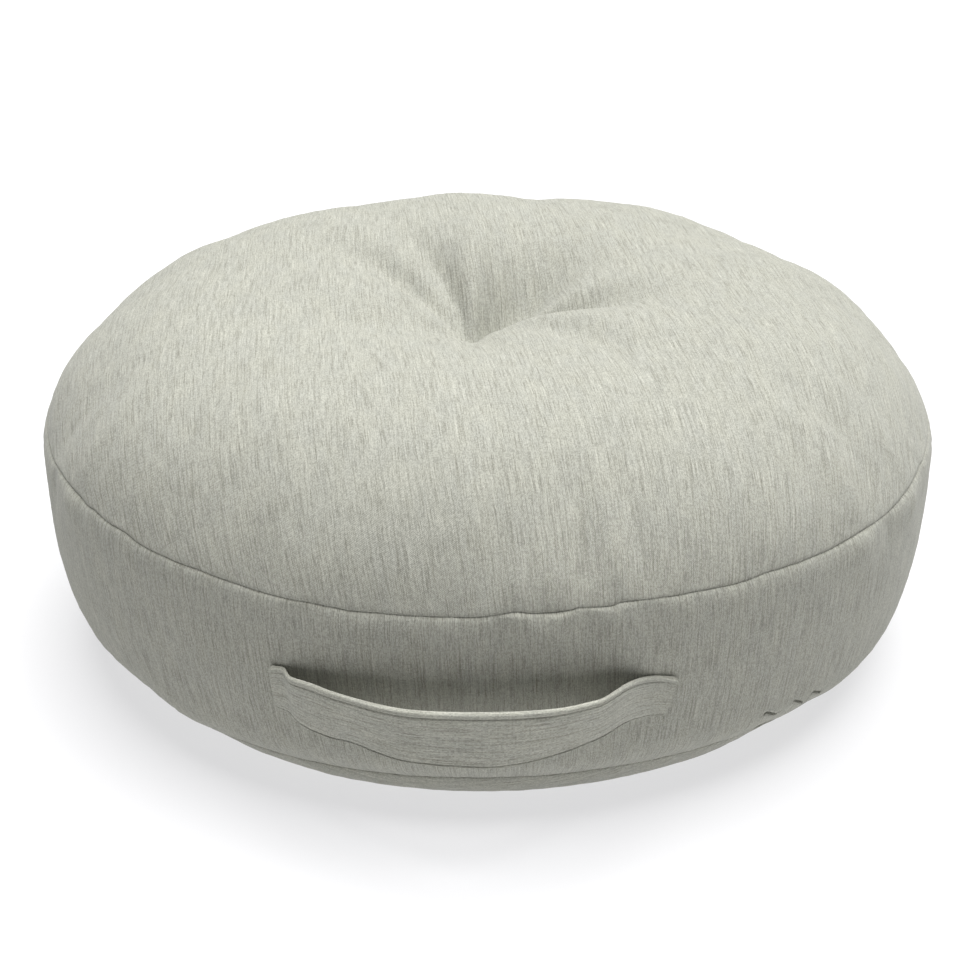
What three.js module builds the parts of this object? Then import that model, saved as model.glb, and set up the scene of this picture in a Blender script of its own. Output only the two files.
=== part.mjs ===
// A round, tufted floor cushion with one carry handle, in millimetres, +Z up.
// The origin is on the floor under the middle of the cushion, and the handle faces -Y.
// The filled cushion is one solid of revolution whose points are then moved: down at the tuft,
// along the folds that run out from it, and in and out where the cloth is gathered at its seams.
// The handle is a folded strap of the same cloth, sewn to the side band at its two ends.
import * as THREE from "three";

// Driving sizes of the cushion.
const seamRadius = 305; // 24 inch top panel
const bandHeight = 133; // side band between its two seams
const baseRise = 23; // bottom seam above the floor
const restRadius = 238; // flat part that lies on the floor
const crownRise = 87; // top of the filling above the top seam
const crownFlatness = 5.3; // higher is a flatter top with a rounder shoulder
const crownShoulder = 0.83;
const topSeamHeight = baseRise + bandHeight;

// The side band, from the top seam down: share of its height, and radius as a share of seamRadius.
const bandStations = [
  { down: 0, radius: 1.0 },
  { down: 0.1, radius: 1.01 },
  { down: 0.35, radius: 1.008 },
  { down: 0.6, radius: 0.998 },
  { down: 0.85, radius: 0.971 },
  { down: 1, radius: 0.913 },
];

// Neither seam runs quite level. azimuth is in degrees from the front, positive to the right, and
// top and bottom are how far each seam lies above its mean height there, in mm.
const seamStations = [
  { azimuth: -180, top: 0, bottom: 0 },
  { azimuth: -140, top: 1, bottom: 0 },
  { azimuth: -85, top: 0, bottom: -4 },
  { azimuth: -66, top: -2, bottom: -9.5 },
  { azimuth: -50, top: -0.8, bottom: -10.5 },
  { azimuth: -35, top: -2.3, bottom: -4.5 },
  { azimuth: -15, top: -3.7, bottom: -0.8 },
  { azimuth: -1, top: -1.8, bottom: 1.5 },
  { azimuth: 6, top: 0.8, bottom: 2.3 },
  { azimuth: 17, top: 2.5, bottom: 2.6 },
  { azimuth: 32, top: 0.6, bottom: 1.2 },
  { azimuth: 46, top: -1.4, bottom: -0.8 },
  { azimuth: 60, top: -3, bottom: -1 },
  { azimuth: 76, top: 0, bottom: 0 },
  { azimuth: 110, top: 1, bottom: 1 },
  { azimuth: 145, top: -1, bottom: 0 },
  { azimuth: 180, top: 0, bottom: 0 },
];

// A sewn seam is a narrow groove between the two panels.
const seamSink = 3;
const seamLip = 2.8;

// The tuft, a stitch near the middle that pulls the top down to a point.
const tuftX = -10;
const tuftY = -8;
const tuftDepth = 41;
const tuftReach = 63;

// Folds that run out from the tuft. A positive depth is a trough and a negative one a ridge.
// angle is in degrees from +X, bend in degrees for each radius further out, spread is the half width
// in mm, and peak and end are shares of seamRadius where the fold is deepest and where it has faded.
const tuftFolds = [
  { angle: 111, bend: 10, depth: 11.5, spread: 11, peak: 0.24, end: 0.74 },
  { angle: 124, bend: 6, depth: -2.5, spread: 9, peak: 0.24, end: 0.6 },
  { angle: 138, bend: 8, depth: 7, spread: 13, peak: 0.24, end: 0.66 },
  { angle: 94, bend: 0, depth: -3.5, spread: 12, peak: 0.22, end: 0.62 },
  { angle: 72, bend: -4, depth: 14, spread: 20, peak: 0.23, end: 0.66 },
  { angle: 33, bend: -8, depth: -5, spread: 14, peak: 0.3, end: 0.66 },
  { angle: 2, bend: -26, depth: 9, spread: 10.5, peak: 0.26, end: 0.58 },
  { angle: -28, bend: 20, depth: -8, spread: 19, peak: 0.2, end: 0.56 },
  { angle: -40, bend: 0, depth: 4, spread: 18, peak: 0.4, end: 0.62 },
  { angle: -58, bend: 0, depth: -3, spread: 15, peak: 0.22, end: 0.45 },
  { angle: -86, bend: 0, depth: 3.5, spread: 12, peak: 0.18, end: 0.4 },
  { angle: 172, bend: 10, depth: -4, spread: 26, peak: 0.26, end: 0.6 },
  { angle: 215, bend: 0, depth: 3.5, spread: 28, peak: 0.24, end: 0.55 },
];

// Gathers at the top seam. azimuth is in degrees from the front, positive to the right, spread is
// the half width along the seam, and reach is how far each runs in from the seam, all in mm.
const seamGathers = [
  { azimuth: -152, depth: 2.4, spread: 11, reach: 60 },
  { azimuth: -118, depth: -2.0, spread: 13, reach: 70 },
  { azimuth: -96, depth: 2.2, spread: 12, reach: 60 },
  { azimuth: -66, depth: 2.6, spread: 11, reach: 70 },
  { azimuth: -58, depth: -2.2, spread: 12, reach: 60 },
  { azimuth: -19, depth: 2.2, spread: 14, reach: 80 },
  { azimuth: 4, depth: 2.8, spread: 10, reach: 95 },
  { azimuth: 8.5, depth: -2.0, spread: 10, reach: 85 },
  { azimuth: 15, depth: 2.6, spread: 10, reach: 90 },
  { azimuth: 52, depth: -2.2, spread: 12, reach: 75 },
  { azimuth: 58, depth: 2.4, spread: 11, reach: 80 },
  { azimuth: 66, depth: -2.2, spread: 12, reach: 90 },
  { azimuth: 98, depth: 2.2, spread: 12, reach: 60 },
  { azimuth: 139, depth: 3.0, spread: 13, reach: 70 },
  { azimuth: 150, depth: -2.0, spread: 12, reach: 65 },
  { azimuth: 174, depth: 2.2, spread: 14, reach: 60 },
];

// The handle: a strap folded to about this width, and its thickness.
const strapWidth = 33;
const strapThickness = 3.2;
const strapEdgeRadius = 1.5;
const seatGap = 0.4; // between the strap's sewn ends and the band
const strapSteps = 52;

// The handle's run along the band, from its left end to its right end: azimuth in degrees from the
// front, centre height, lift off the band, kick, how much further out the lower edge stands, and
// width, which eases where the strap is sewn down.
const strapStations = [
  { azimuth: -22.4, centre: 91.6, lift: 0, kick: 0, width: 30 },
  { azimuth: -21.6, centre: 91.3, lift: 0.2, kick: 0, width: 31 },
  { azimuth: -20.6, centre: 90.6, lift: 1.3, kick: 0, width: 32 },
  { azimuth: -19.4, centre: 89.1, lift: 4, kick: 0.1, width: 33 },
  { azimuth: -18, centre: 88.9, lift: 7.2, kick: 1, width: 33.5 },
  { azimuth: -16, centre: 90.1, lift: 11.1, kick: 0.6, width: 33.6 },
  { azimuth: -14, centre: 91.7, lift: 15.4, kick: -0.3, width: 33.4 },
  { azimuth: -11.5, centre: 93.2, lift: 19.9, kick: -1, width: 33.3 },
  { azimuth: -9, centre: 93.4, lift: 24.6, kick: 0.1, width: 33.5 },
  { azimuth: -6, centre: 93, lift: 28.7, kick: 1.7, width: 33.8 },
  { azimuth: -3, centre: 93.9, lift: 31.1, kick: 2.3, width: 33.9 },
  { azimuth: 0, centre: 94.5, lift: 32.2, kick: 2.9, width: 34.2 },
  { azimuth: 3, centre: 94.4, lift: 32.1, kick: 3.3, width: 34.4 },
  { azimuth: 6, centre: 94.9, lift: 30.8, kick: 1.6, width: 34.1 },
  { azimuth: 9, centre: 95.9, lift: 28.3, kick: -0.9, width: 33.5 },
  { azimuth: 11, centre: 96.3, lift: 25.4, kick: -2, width: 33.1 },
  { azimuth: 12.5, centre: 96.1, lift: 22, kick: -2.6, width: 32.8 },
  { azimuth: 14, centre: 95.9, lift: 18.5, kick: -3, width: 32.5 },
  { azimuth: 15.5, centre: 97.3, lift: 14.6, kick: -2.6, width: 32.2 },
  { azimuth: 17, centre: 98.3, lift: 10.7, kick: -2.1, width: 31.7 },
  { azimuth: 18.5, centre: 97.5, lift: 7.2, kick: -1.7, width: 31 },
  { azimuth: 20, centre: 95.5, lift: 3.4, kick: -0.8, width: 30.1 },
  { azimuth: 21.5, centre: 93.4, lift: 0.4, kick: 0, width: 29.3 },
  { azimuth: 23.4, centre: 90.4, lift: 0, kick: 0, width: 28.7 },
];

// How finely the solids are faceted.
const roundSteps = 112;
const crownRows = 25;
const bandRows = 9;
const marginRows = 5;

const cloth = new THREE.MeshStandardMaterial({ color: 0xcfcfc4, roughness: 0.95, metalness: 0 });
cloth.name = "heather cloth";

const smoothstep = THREE.MathUtils.smoothstep;

// A smooth value through a table's rows, read at x in the column named key.
function readTable(rows, key, column, x) {
  const curve = new THREE.SplineCurve(rows.map((row) => new THREE.Vector2(row[key], row[column])));
  let low = 0;
  let high = 1;
  for (let step = 0; step < 30; step++) {
    const middle = (low + high) / 2;
    if (curve.getPoint(middle).x < x) low = middle;
    else high = middle;
  }
  return curve.getPoint((low + high) / 2).y;
}

// How far the seams' waviness raises a point of the cushion from its place in the plain section.
function seamLift(azimuth, height) {
  const top = readTable(seamStations, "azimuth", "top", azimuth);
  const bottom = readTable(seamStations, "azimuth", "bottom", azimuth);
  if (height < baseRise) return bottom * (height / baseRise);
  if (height > topSeamHeight) return top * (1 - (height - topSeamHeight) / crownRise);
  return THREE.MathUtils.mapLinear(height, baseRise, topSeamHeight, bottom, top);
}

function azimuthOf(x, y) {
  return THREE.MathUtils.radToDeg(Math.atan2(x, -y));
}

function bandRadius(height) {
  const down = THREE.MathUtils.clamp((topSeamHeight - height) / bandHeight, 0, 1);
  return seamRadius * readTable(bandStations, "down", "radius", down);
}

// Height of the filled top panel, before the tuft and the folds.
function crownHeight(radius) {
  const share = Math.min(radius / seamRadius, 1);
  return topSeamHeight + crownRise * (1 - share ** crownFlatness) ** crownShoulder;
}

// Rows close together at the tuft and at the shoulder, and wider apart between them.
function crownRowRadius(row) {
  const share = row / crownRows;
  const eased = 0.5 - 0.5 * Math.cos(Math.PI * share);
  return (seamRadius - 1) * (0.35 * share + 0.65 * eased);
}

// Half of the cushion's section, from the middle of the underside round to the middle of the top.
function cushionProfile() {
  const points = [];
  const add = (radius, height) => points.push(new THREE.Vector2(radius, height));
  for (const share of [0, 0.35, 0.7]) add(restRadius * share, 0);
  const bottomSeam = bandRadius(baseRise);
  for (let row = 0; row < marginRows; row++) {
    const turn = (Math.PI / 2) * (row / marginRows);
    add(restRadius + (bottomSeam - restRadius) * Math.sin(turn), baseRise * (1 - Math.cos(turn)));
  }
  add(bottomSeam - seamSink, baseRise);
  for (let row = 0; row <= bandRows; row++) {
    const height = baseRise + seamLip + (bandHeight - 2 * seamLip) * (row / bandRows);
    add(bandRadius(height), height);
  }
  add(seamRadius - seamSink, topSeamHeight);
  for (let row = crownRows; row >= 0; row--) {
    const radius = crownRowRadius(row);
    add(radius, crownHeight(radius));
  }
  return points;
}

// How far the tuft and its folds lower the top panel at a point.
function tuftRelief(x, y) {
  const radius = Math.hypot(x - tuftX, y - tuftY);
  const share = radius / seamRadius;
  let sink = tuftDepth * Math.exp(-radius / tuftReach);
  for (const fold of tuftFolds) {
    const along = THREE.MathUtils.degToRad(fold.angle + fold.bend * (share - fold.peak));
    const off = Math.atan2(y - tuftY, x - tuftX) - along;
    if (Math.cos(off) <= 0) continue;
    const across = radius * Math.sin(off);
    const width = fold.spread * (0.35 + 0.65 * (share / fold.peak));
    const swell = (share / fold.peak) * Math.exp(1 - share / fold.peak);
    const fade = 1 - smoothstep(share, fold.peak, fold.end);
    sink += fold.depth * swell * fade * Math.exp(-((across / width) ** 2));
  }
  return sink * (1 - smoothstep(Math.hypot(x, y) / seamRadius, 0.7, 0.98));
}

// How far the gathers pull the cloth in at a point: the same measure for both panels of the seam.
function gatherRelief(x, y, height) {
  const radius = Math.hypot(x, y);
  const azimuth = azimuthOf(x, y);
  let pull = 0;
  for (const gather of seamGathers) {
    const off = THREE.MathUtils.degToRad(azimuth - gather.azimuth);
    const turned = Math.atan2(Math.sin(off), Math.cos(off));
    const across = (turned * seamRadius) / gather.spread;
    const inward = (seamRadius - radius) / gather.reach;
    const down = Math.max(topSeamHeight - height, 0) / (0.35 * gather.reach);
    const fade = Math.exp(-(inward ** 2) - down ** 2) * (1 - Math.exp(-((inward + down) * 6)));
    pull += gather.depth * fade * Math.exp(-(across ** 2));
  }
  return pull;
}

function makeCushion() {
  const geometry = new THREE.LatheGeometry(cushionProfile(), roundSteps);
  geometry.rotateX(Math.PI / 2);
  const points = geometry.getAttribute("position");
  for (let i = 0; i < points.count; i++) {
    const x = points.getX(i);
    const y = points.getY(i);
    const height = points.getZ(i);
    const onTop = height > topSeamHeight;
    const pull = height > baseRise + seamLip ? gatherRelief(x, y, height) : 0;
    const inward = 1 - (onTop ? 0.5 : 1) * (pull / seamRadius);
    const sink = onTop ? tuftRelief(x, y) + 0.8 * pull : 0;
    const lift = seamLift(azimuthOf(x, y), height);
    points.setXYZ(i, x * inward, y * inward, height + lift - sink);
  }
  return named("cushion", geometry);
}

// The strap's section: a flat band with rounded edges, width along Y and thickness along X.
function strapSection() {
  const half = strapWidth / 2;
  const r = strapEdgeRadius;
  const section = new THREE.Shape();
  section.moveTo(0, -half + r);
  section.absarc(r, -half + r, r, Math.PI, 1.5 * Math.PI);
  section.absarc(strapThickness - r, -half + r, r, 1.5 * Math.PI, 2 * Math.PI);
  section.absarc(strapThickness - r, half - r, r, 0, 0.5 * Math.PI);
  section.absarc(r, half - r, r, 0.5 * Math.PI, Math.PI);
  for (const share of [0.6, 0.3, 0, -0.3, -0.6]) section.lineTo(0, half * share);
  return section;
}

// A point of the strap in the cushion's frame, from its azimuth, its place across the width
// (-1 at the lower edge, 1 at the upper one) and its depth through the thickness.
function strapPoint(azimuth, across, depth) {
  const value = (column) => readTable(strapStations, "azimuth", column, azimuth);
  const kick = value("kick");
  const halfHeight = Math.sqrt((value("width") / 2) ** 2 - kick ** 2);
  const height = value("centre") + across * halfHeight;
  const lift = Math.max(value("lift") - kick * across, 0);
  const radius = bandRadius(height - seamLift(azimuth, height)) + seatGap + lift + depth;
  const turn = THREE.MathUtils.degToRad(azimuth);
  return [radius * Math.sin(turn), -radius * Math.cos(turn), height];
}

function makeHandle() {
  const geometry = new THREE.ExtrudeGeometry(strapSection(), {
    depth: 1,
    steps: strapSteps,
    curveSegments: 3,
    bevelEnabled: false,
  });
  const start = strapStations[0].azimuth;
  const end = strapStations[strapStations.length - 1].azimuth;
  const points = geometry.getAttribute("position");
  for (let i = 0; i < points.count; i++) {
    const azimuth = THREE.MathUtils.lerp(end, start, points.getZ(i));
    const across = points.getY(i) / (strapWidth / 2);
    points.setXYZ(i, ...strapPoint(azimuth, across, points.getX(i)));
  }
  return named("handle", geometry);
}

function named(name, geometry) {
  const mesh = new THREE.Mesh(geometry, cloth);
  mesh.name = name;
  return mesh;
}

const floorCushion = new THREE.Group();
floorCushion.add(makeCushion(), makeHandle());

export default floorCushion;
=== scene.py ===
"""A round, tufted floor cushion with a strap handle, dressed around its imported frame.

The cushion's cover is one closed mesh of three sewn panels: a top drawn down by a tuft, a side band
and a bottom. The handle is a folded strap, topstitched along its edges. Sizes are in metres in the
properties below, and in millimetres and degrees in the tables of folds and stations.
"""

import math
from functools import partial

import bmesh
import bpy
import numpy as np
from bpy.props import FloatProperty, FloatVectorProperty, IntProperty, PointerProperty
from mathutils import Matrix, Vector
from mathutils.kdtree import KDTree


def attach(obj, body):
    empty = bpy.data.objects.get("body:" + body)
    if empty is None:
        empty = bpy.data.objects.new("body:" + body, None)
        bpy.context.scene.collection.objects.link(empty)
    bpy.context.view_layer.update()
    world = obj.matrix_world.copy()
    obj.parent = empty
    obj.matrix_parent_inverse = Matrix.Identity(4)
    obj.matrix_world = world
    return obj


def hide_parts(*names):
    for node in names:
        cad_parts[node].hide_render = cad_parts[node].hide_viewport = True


bl_info = {
    "name": "Round Floor Cushion",
    "version": (1, 0, 0),
    "blender": (4, 5, 0),
    "location": "View3D > Sidebar > Cushion",
    "description": "Builds the cover, the strap handle, its stitches and a plain stage",
    "category": "Add Mesh",
}

MM = 0.001
BODY = "root"

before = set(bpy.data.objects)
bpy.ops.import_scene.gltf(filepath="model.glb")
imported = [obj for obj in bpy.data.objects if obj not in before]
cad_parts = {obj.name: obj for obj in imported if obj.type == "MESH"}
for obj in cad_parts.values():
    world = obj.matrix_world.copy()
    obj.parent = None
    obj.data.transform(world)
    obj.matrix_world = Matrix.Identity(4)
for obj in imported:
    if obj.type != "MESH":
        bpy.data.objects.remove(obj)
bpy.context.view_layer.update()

# Properties for a size in metres, an angle and a colour.
Length = partial(FloatProperty, subtype="DISTANCE")
Angle = partial(FloatProperty, subtype="ANGLE")
Colour = partial(FloatVectorProperty, subtype="COLOR", size=4, min=0, max=1)


def table(columns, *rows):
    """A table's rows, each with its values under the columns' names."""
    names = columns.split()
    return [dict(zip(names, row)) for row in rows]


# The side band from the top seam down: share of its height, and radius as a share of the seam's.
BAND_STATIONS = table(
    "down radius",
    (0, 1), (0.022, 1.0048), (0.055, 1.0088), (0.1, 1.0106), (0.35, 1.008), (0.6, 0.998),
    (0.85, 0.971), (1, 0.913),
)

# The bottom panel's margin from the floor up to its seam: share of its height, and radius as a share
# of the seam's.
MARGIN_STATIONS = table(
    "rise radius",
    (0, 0.865), (0.06, 0.915), (0.2, 0.949), (0.4, 0.969), (0.6, 0.984), (0.8, 0.994), (1, 1),
)

# How far each seam lies above its mean height, in mm. Azimuths here and below are in degrees from
# the front, positive to the right of someone who faces the handle.
TOP_SEAM = table(
    "azimuth lift",
    (-180, 0), (-165, 0.8), (-152, -0.6), (-140, 1), (-127, 0), (-114, 0.9), (-100, -0.5), (-85, 0),
    (-76, -1.2), (-69, -4), (-65, -1.4), (-60, -0.5), (-56.5, 0.3), (-54, -1.3), (-52, 0.1),
    (-49, -1.4), (-45, -0.3), (-42, -2.5), (-36, -2.5), (-32, -2), (-27, -2.8), (-22, -3.8),
    (-17, -3.2), (-13, -3.9), (-9, -3.2), (-3, -2.4), (2, -1.5), (5.4, 1.6), (7.8, 0.1), (11.4, 1),
    (12.4, 2.1), (15.3, 1.5), (16.4, 1.8), (17.3, 3), (21, 2.2), (26, 1.4), (32, 0), (35, 1),
    (40, 0), (46, -1.4), (52, -1.6), (57, -3), (62, -3.2), (67, -1.6), (73, 0.7), (84, -0.4),
    (97, 0.9), (110, 1), (124, -0.3), (138, 0.5), (145, -1), (160, 0.4), (180, 0),
)
BOTTOM_SEAM = table(
    "azimuth lift",
    (-180, 0), (-140, 0), (-85, -4), (-66, -3), (-56, -6.5), (-47, -9), (-35, -4.5), (-15, -0.8),
    (-1, 1.5), (6, 2.3), (17, 2.6), (32, 1.2), (46, -2), (58, -6), (76, -4), (110, 1), (145, 0),
    (180, 0),
)

# Folds that run out from the tuft. A positive depth is a trough and a negative one a ridge. angle
# is in degrees from +X, bend in degrees for each seam radius further out, spread is the half width
# in mm, and peak and end are shares of the seam radius where a fold is deepest and has faded.
TUFT_FOLDS = table(
    "angle bend depth spread peak end",
    (114, 6, 9.5, 11, 0.26, 0.8),
    (124, 6, -2.5, 9, 0.24, 0.6),
    (137, 6, 10.5, 13, 0.22, 0.72),
    (92, 0, -9, 16, 0.3, 0.75),
    (55, 16, 30, 20, 0.165, 0.5),
    (10, -20, 15, 13, 0.2, 0.56),
    (-28, 20, -8, 19, 0.2, 0.56),
    (-40, 0, 4, 18, 0.4, 0.62),
    (-58, 0, -3, 15, 0.22, 0.45),
    (-86, 0, 3.5, 12, 0.18, 0.4),
    (172, 10, -4, 26, 0.26, 0.6),
    (215, 0, 3.5, 28, 0.24, 0.55),
)

# How far the bottom panel's margin tucks in under its seam, in mm.
MARGIN_TUCKS = table(
    "azimuth tuck",
    (-180, 5), (-115, 9), (-49, 14), (-40, 9), (-35, 5.2), (-31, 2), (-20, 0.8), (-9, 0), (6, 0),
    (17, 1), (26, 2.2), (31, 2.7), (36, 3.4), (41, 6.5), (46, 11.5), (52, 13), (60, 12), (115, 8),
    (180, 5),
)

# How far the lower part of the side is drawn in, in mm.
SIDE_TUCKS = table(
    "azimuth tuck",
    (-180, 0), (-75, 0), (-60, 0.3), (-56, 2), (-52, 4), (-48, 6), (-44, 3.7), (-40, 1), (-35, 0),
    (36, 0), (44, 1.5), (52, 0), (180, 0),
)

# How far the crown's shoulder dips below its plain section at the back, in mm.
SHOULDER_DIPS = table(
    "azimuth dip",
    (-180, 2.4), (-175, 0.8), (-170, -1), (-162, 1.4), (-154, 3.2), (-145, 1.4), (-132, -0.8),
    (-120, 1.5), (-108, 0), (80, 0), (94, 4), (103, 4.4), (112, 1.8), (116, 2.2), (121, 3.4),
    (126, 1.8), (131, 2.8), (136, 1), (150, -1.6), (158, -1), (163, -0.4), (168, 1.6), (172, 4.6),
    (176, 4.2), (180, 2.4),
)

# Three short slits in the band at the lower right: each one's middle, and how far the cloth below it
# and to its right is dented, in mm. They run down to the right, at this slope.
SLITS = table(
    "azimuth height dent",
    (39.3, 46.9, 2.4), (44.2, 46.5, 0.8), (47.9, 46, 2.4),
)
SLIT_SLOPE = -0.55

# Where a slit fades out along its length, and the place and size of its dent, in metres. The lip below
# it is a share of its depth, and its place and width are in slit widths.
SLIT_FADE = (0.005, 0.0075)
DENT_ALONG, DENT_HEIGHT, DENT_SIZE = 0.010, 0.032, 0.011
LIP_SHARE, LIP_DOWN, LIP_WIDTH = 0.3, 3, 2

# The band's mesh rows beside the slits, in mm from the middle slit's height, and in metres how they
# slant with the slits: where that fades along a slit and up the band, and the gap to the even rows.
SLIT_HEIGHT = 46.5
SLIT_ROWS = (0, 0.35, 0.7, 1.1, 1.7, 2.6, 4)
SLANT_FADE, SLANT_REACH, SLIT_ROW_GAP = (0.006, 0.0105), 0.012, 0.0012

# Gathers at the top seam: depth, half width along the seam, and how far in they reach, in mm.
SEAM_GATHERS = table(
    "azimuth depth spread reach",
    (-152, 2.4, 11, 60),
    (-118, -2, 13, 70),
    (-96, 2.2, 12, 60),
    (-66, 2.6, 11, 70),
    (-58, -2.2, 12, 60),
    (-19, 2.2, 14, 80),
    (3.6, 2.6, 8, 80),
    (8.5, -1.6, 9, 70),
    (13.4, 3.4, 6, 75),
    (16.6, -1.8, 6, 60),
    (20.4, 2.6, 7, 60),
    (5.6, -2.2, 7, 14),
    (9.8, -2.4, 6, 13),
    (14.4, -1.2, 6, 12),
    (17.6, -1.6, 4, 12),
    (52, -2.2, 12, 75),
    (58, 2.4, 11, 80),
    (66, -2.2, 12, 90),
    (98, 2.2, 12, 60),
    (139, 3, 13, 70),
    (150, -2, 12, 65),
    (174, 2.2, 14, 60),
)

# The handle's run along the band: centre height, lift off the band, kick, how much further out the
# lower edge stands, and width, in mm. It is eased narrower where it is sewn down.
STRAP_STATIONS = table(
    "azimuth centre lift kick width",
    (-22.4, 91.6, 0, 0, 30),
    (-21.6, 91.3, 0, 0, 31),
    (-21, 91.2, 0, 0, 32),
    (-20.6, 91.2, 0.4, 0, 32.3),
    (-20.2, 91.2, 1.8, -0.5, 32.6),
    (-19.8, 91.2, 3.8, -1, 33),
    (-19.4, 91.2, 5.8, -1.3, 33.1),
    (-19, 91.2, 7.3, -1.2, 33.3),
    (-18.4, 91.2, 8.7, -0.7, 33.5),
    (-17.2, 91.3, 10.6, 0, 33.6),
    (-16, 91.4, 12.2, 0.2, 33.6),
    (-14, 91.8, 15.6, -0.2, 33.4),
    (-11.5, 93.2, 19.9, -1, 33.3),
    (-9, 93.4, 24.6, 0.1, 33.5),
    (-6, 93, 28.7, 1.7, 33.8),
    (-3, 93.9, 31.1, 2.3, 33.9),
    (0, 94.5, 32.2, 2.9, 34.2),
    (3, 94.4, 32.1, 3.3, 34.4),
    (6, 94.9, 30.8, 1.6, 34.1),
    (9, 95.9, 28.3, -0.9, 33.5),
    (11, 96.3, 25.4, -2, 33.1),
    (12.5, 96.1, 22, -2.6, 32.8),
    (14, 95.9, 18.5, -3, 32.5),
    (15.5, 97.3, 14.6, -2.6, 32.2),
    (17, 97.7, 9.5, -2.1, 31.7),
    (18.5, 96.2, 4.6, -1.4, 30.9),
    (20, 94.2, 1, -0.4, 29.8),
    (21.5, 93, 0, 0, 29.1),
    (23.5, 90.2, 0, 0, 28.7),
)

# How deep each row of topstitching pinches the strap, as a share of half its thickness, and in metres
# the pinch's half width. The cloth outside the row swells by these shares.
UPPER_PINCH, LOWER_PINCH, PINCH_WIDTH = 0.5, 0.35, 0.0005
UPPER_SWELL, LOWER_SWELL = 0.12, 0.3

# Where the strap's outer face has points, in shares of the way from an edge to its topstitching, and
# where the swelling lies and how wide it is, in the same shares.
FACE_PLACES = (0.62, 0.78, 0.9, 1, 1.1, 1.22, 1.4, 1.8, 2.5, 3.4)
SWELL_PLACE, SWELL_WIDTH = 0.5, 0.3

# The rounding of the strap's upper and lower edges, and of the edges of its inner face, in metres.
UPPER_ROLL, LOWER_ROLL, INNER_ROLL = 0.0016, 0.0008, 0.0006

# Measured in from the strap's sewn ends: its mesh rings there, in mm, and in metres the first of its
# even rings, where an end is folded thicker, where it is pressed flat, where the pinches set in, and
# where the right end starts to lean. An end's edge is at least this share of the thickness.
END_RINGS = (0, 0.15, 0.4, 0.8, 1.2, 1.7, 2.2, 2.6, 2.9, 3.2, 3.5, 3.9)
EVEN_RINGS, LEAN_REACH, THINNEST_EDGE = 0.0046, 0.02, 0.5
END_FOLD, END_FLAT, PINCH_ONSET = (0.0025, 0.008), (0.008, 0.045), (0.004, 0.011)

# The ridge along each end: its height as a share of the thickness, and its place and half width in
# metres. The topstitching has this many points along it, and stands out by a share of its radius.
RIM_SWELL, RIM_PLACE, RIM_WIDTH = 0.15, 0.0012, 0.0008
STITCH_STEPS, THREAD_LIFT = 200, 0.3

# The folds at the tuft are narrowest at its point, as a share, and fade out between these shares of
# the seam radius.
FOLD_NARROWEST, FOLDS_FADE = 0.35, (0.7, 0.98)

# How far the gathers reach down the band, as a share of their reach over the top, and how soon they
# set in from the seam. They pull the top in and down by these shares of their depth, and stop this
# far above the bottom seam, in metres.
GATHER_DOWN, GATHER_ONSET = 0.35, 6
TOP_PULL, TOP_SINK, GATHERS_END = 0.5, 0.8, 0.0028

# The filling's unevenness: wave length, depth on the sides and on the top, and how far from a seam it
# sets in, in metres.
LUMP_WAVE, SIDE_LUMPS, TOP_LUMPS, LUMP_ONSET = 0.13, 0.0009, 0.0012, 0.02

# The tucks set in at this radius on the underside, in metres, and those in the side end at this share
# of the band's height. The shoulder's dips set in and fade out between these shares of the seam radius.
TUCK_START, SIDE_TUCK_TOP = 0.1, 0.6
DIP_ONSET, DIP_FADE = (0.4, 0.78), (0.84, 1)

# Mesh rows beside a seam, in mm from it, so that its groove is crisp, and the groove's steepness.
SEAM_ROWS = (0.3, 0.7, 1.2, 2.0, 3.1, 4.7, 6.8)
GROOVE_POWER = 0.75

# How close together the top panel's rings lie at the tuft, as a share of their usual distance, and the
# steps along the profiles of the crown and of the bottom panel's margin.
TUFT_CLOSENESS = 0.42
CROWN_STEPS, MARGIN_STEPS = 400, 60

# The cloth simulation: rows of the coarse cover across the band, and beside a seam in mm; the scatter
# that breaks its evenness, in metres; and the frames that it settles for. Its even swelling is
# averaged over this many steps across each panel.
SETTLE_ROWS, SETTLE_SEAM_ROWS, SETTLE_SCATTER = 26, (4.5,), 0.0002
SETTLE_FRAMES, SETTLE_STEPS = 20, 40

# How firmly the tuft holds the top there, between which distances from it that fades out, and up to
# which height the underside is held, in metres.
TUFT_HOLD, TUFT_HOLD_FADE, UNDERSIDE_HELD = 0.9, (0.12, 0.2), 0.004

CLOTH_SETTINGS = {
    "quality": 6,
    "mass": 0.25,
    "tension_stiffness": 20,
    "compression_stiffness": 20,
    "shear_stiffness": 8,
    "bending_stiffness": 0.3,
    "air_damping": 2,
    "vertex_group_mass": "held",
    "use_pressure": True,
    "uniform_pressure_force": 4,
}

# The weave's noises: features for each metre across the warp and along it, detail and roughness. The
# yarns' waves and two of the noises stand out in the relief by the shares below.
WEAVE_NOISES = {
    "slub": (1850, 60, 2, 0.6),
    "long_slub": (800, 22, 1, 0.5),
    "weft": (70, 1500, 1, 0.5),
    "patch": (70, 30, 3, 0.6),
}
YARN_RELIEF, SLUB_RELIEF, WEFT_RELIEF = 0.35, 1.1, 0.4

# How the noises darken and lighten the cloth: which noise, its values where that starts and where it
# is full, and how far it goes.
DARKER = (("slub", 0.52, 0.28, 0.55), ("long_slub", 0.48, 0.30, 0.30), ("weft", 0.46, 0.26, 0.16))
LIGHTER = (("slub", 0.54, 0.74, 0.14), ("long_slub", 0.56, 0.72, 0.12))

# The range of noise over which the tint turns cool, the range of the flecks' brightness, the flecks
# for each metre across and along, and the crossings of two yarns for each metre.
COOL_RANGE, FLECK_RANGE, FLECKS, CROSSINGS = (0.30, 0.70), (0.83, 1.15), (1900, 1100), 1600

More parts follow.
